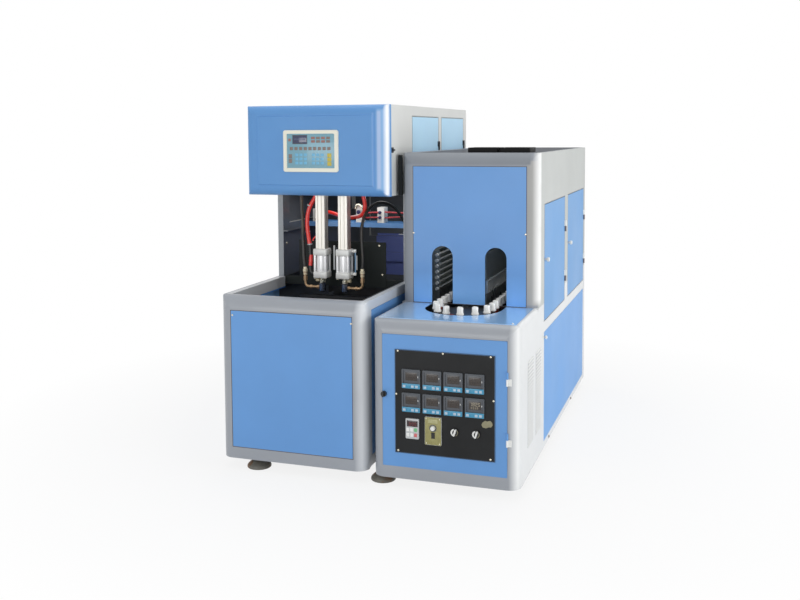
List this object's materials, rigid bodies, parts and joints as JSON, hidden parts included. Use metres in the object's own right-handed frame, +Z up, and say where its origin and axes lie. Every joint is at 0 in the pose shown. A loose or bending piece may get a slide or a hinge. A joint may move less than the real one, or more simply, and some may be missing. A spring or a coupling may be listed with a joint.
{
  "type": "stretch blow moulding machine",
  "caption": "Semi-automatic stretch blow moulding machine: a bottle blowing unit with a sliding clamp beside an infrared preform heater with a carrier chain.",
  "frame": {"origin": "on the floor under the middle of the whole machine", "axes": "+X to the right seen from the front, +Y from the front to the back, +Z up"},
  "size_m": [1.4982, 2.104, 1.75],
  "materials": {
    "grey_paint": "satin light grey paint",
    "blue_paint": "satin mid blue paint",
    "light_blue_paint": "satin light blue paint",
    "black_paint": "black paint",
    "olive_plastic": "moulded",
    "black_plastic": "semi-gloss moulded",
    "grey_plastic": "moulded",
    "cream_plastic": "membrane",
    "white_plastic": "moulded",
    "aluminium": "anodised",
    "steel": "machined",
    "cast_steel": "as machined, oiled",
    "chrome": "polished",
    "brass": "turned",
    "red_hose": "smooth",
    "dark_hose": "smooth",
    "lamp_glass": "quartz tube"
  },
  "bodies": {
    "machine": {"levelling_feet": "olive_plastic", "blow_cabinet": "grey_paint", "blow_front_panel": "blue_paint", "blow_housing": "grey_paint", "blow_cover_panels": "light_blue_paint", "blow_side_door_1": "light_blue_paint", "blow_side_door_2": "light_blue_paint", "stretch_cylinders": "aluminium", "seal_cylinders": "aluminium", "blow_hose_left": "dark_hose", "blow_hose_right": "dark_hose", "air_hoses": "red_hose", "front_platen": "black_paint", "front_mould_half": "steel", "back_platen": "black_paint", "tie_bars": "chrome", "clamp_cylinder": "cast_steel", "guard_plate": "black_paint", "valve_shelf": "blue_paint", "air_valves": "white_plastic", "heater_cabinet": "grey_paint", "heater_cover_panels": "blue_paint", "heater_deck": "blue_paint", "oven_tower": "grey_paint", "oven_front_panel": "blue_paint", "chain_table": "black_paint", "front_wheel": "cast_steel", "back_wheel": "cast_steel", "preform_chain": "steel", "preform_holders": "white_plastic", "drive_motor": "cast_steel", "lamp_reflectors": "aluminium", "infrared_lamps": "lamp_glass", "fan_frames": "black_plastic", "door_hinges": "white_plastic"},
    "cover": {"head_cover": "blue_paint", "control_panel": "cream_plastic"},
    "cover_lock": {"head_cover_lock": "black_plastic"},
    "clamp": {"moving_platen": "black_paint", "back_mould_half": "steel", "clamp_rod": "chrome"},
    "left_seal": {"seal_nozzle_left": "steel", "blow_elbow_left": "brass"},
    "right_seal": {"seal_nozzle_right": "steel", "blow_elbow_right": "brass"},
    "left_stretch": {"stretch_rod_left": "chrome"},
    "right_stretch": {"stretch_rod_right": "chrome"},
    "door": {"control_door": "blue_paint", "instrument_board": "black_plastic", "panel_meters": "grey_plastic", "drive_controls": "olive_plastic"},
    "door_lock": {"control_door_lock": "black_plastic"},
    "left_selector": {"selector_left": "white_plastic"},
    "right_selector": {"selector_right": "white_plastic"},
    "speed_dial": {"speed_knob": "white_plastic"},
    "rocker": {"rocker_switch": "black_plastic"},
    "oven_door_front": {"oven_side_door_1": "blue_paint"},
    "oven_door_back": {"oven_side_door_2": "blue_paint"},
    "left_fan": {"exhaust_fan_left": "black_plastic"},
    "right_fan": {"exhaust_fan_right": "black_plastic"}
  },
  "joints": [
    {"name": "head_cover_hinge", "type": "hinge", "parent": "machine", "child": "cover", "pos_m": [-0.74415, -0.662, 1.302], "axis": [0, 0, -1], "range_deg": [0, 100]},
    {"name": "head_cover_lock_turn", "type": "hinge", "parent": "machine", "child": "cover_lock", "pos_m": [0.01315, -0.633, 1.528], "axis": [1, 0, 0], "range_deg": [0, 90]},
    {"name": "clamp_stroke", "type": "slide", "parent": "machine", "child": "clamp", "axis": [0, 1, 0], "range_m": [0, 0.13]},
    {"name": "left_seal_stroke", "type": "slide", "parent": "machine", "child": "left_seal", "axis": [0, 0, -1], "range_m": [0, 0.05], "deforming": ["blow_hose_left"]},
    {"name": "right_seal_stroke", "type": "slide", "parent": "machine", "child": "right_seal", "axis": [0, 0, -1], "range_m": [0, 0.05], "deforming": ["blow_hose_right"]},
    {"name": "left_stretch_stroke", "type": "slide", "parent": "machine", "child": "left_stretch", "axis": [0, 0, -1], "range_m": [0, 0.3]},
    {"name": "right_stretch_stroke", "type": "slide", "parent": "machine", "child": "right_stretch", "axis": [0, 0, -1], "range_m": [0, 0.3]},
    {"name": "control_door_hinge", "type": "hinge", "parent": "machine", "child": "door", "pos_m": [0.67515, -1.033, 0.271], "axis": [0, 0, 1], "range_deg": [0, 110]},
    {"name": "control_door_lock_turn", "type": "hinge", "parent": "door", "child": "door_lock", "pos_m": [0.10585, -1.028, 0.432], "axis": [0, -1, 0], "range_deg": [0, 90]},
    {"name": "left_selector_turn", "type": "hinge", "parent": "door", "child": "left_selector", "pos_m": [0.43835, -1.028, 0.2855], "axis": [0, -1, 0], "range_deg": [-45, 45]},
    {"name": "right_selector_turn", "type": "hinge", "parent": "door", "child": "right_selector", "pos_m": [0.53635, -1.028, 0.2855], "axis": [0, -1, 0], "range_deg": [-45, 45]},
    {"name": "speed_dial_turn", "type": "hinge", "parent": "door", "child": "speed_dial", "pos_m": [0.33995, -1.028, 0.296], "axis": [0, -1, 0], "range_deg": [-150, 150]},
    {"name": "rocker_tip", "type": "hinge", "parent": "door", "child": "rocker", "pos_m": [0.33995, -1.036, 0.262], "axis": [1, 0, 0], "range_deg": [0, 12]},
    {"name": "oven_door_front_hinge", "type": "hinge", "parent": "machine", "child": "oven_door_front", "pos_m": [0.73215, 0.215, 0.82], "axis": [0, 0, 1], "range_deg": [0, 105]},
    {"name": "oven_door_back_hinge", "type": "hinge", "parent": "machine", "child": "oven_door_back", "pos_m": [0.73215, 0.962, 0.82], "axis": [0, 0, 1], "range_deg": [0, 105]},
    {"name": "left_fan_spin", "type": "hinge", "parent": "machine", "child": "left_fan", "pos_m": [0.43115, -0.408, 1.513], "axis": [0, 0, 1], "continuous": true},
    {"name": "right_fan_spin", "type": "hinge", "parent": "machine", "child": "right_fan", "pos_m": [0.59115, -0.408, 1.513], "axis": [0, 0, 1], "continuous": true}
  ],
  "couplings": [
    {"joint": "right_seal_stroke", "follows": "left_seal_stroke", "ratio": 1},
    {"joint": "right_stretch_stroke", "follows": "left_stretch_stroke", "ratio": 1}
  ]
}
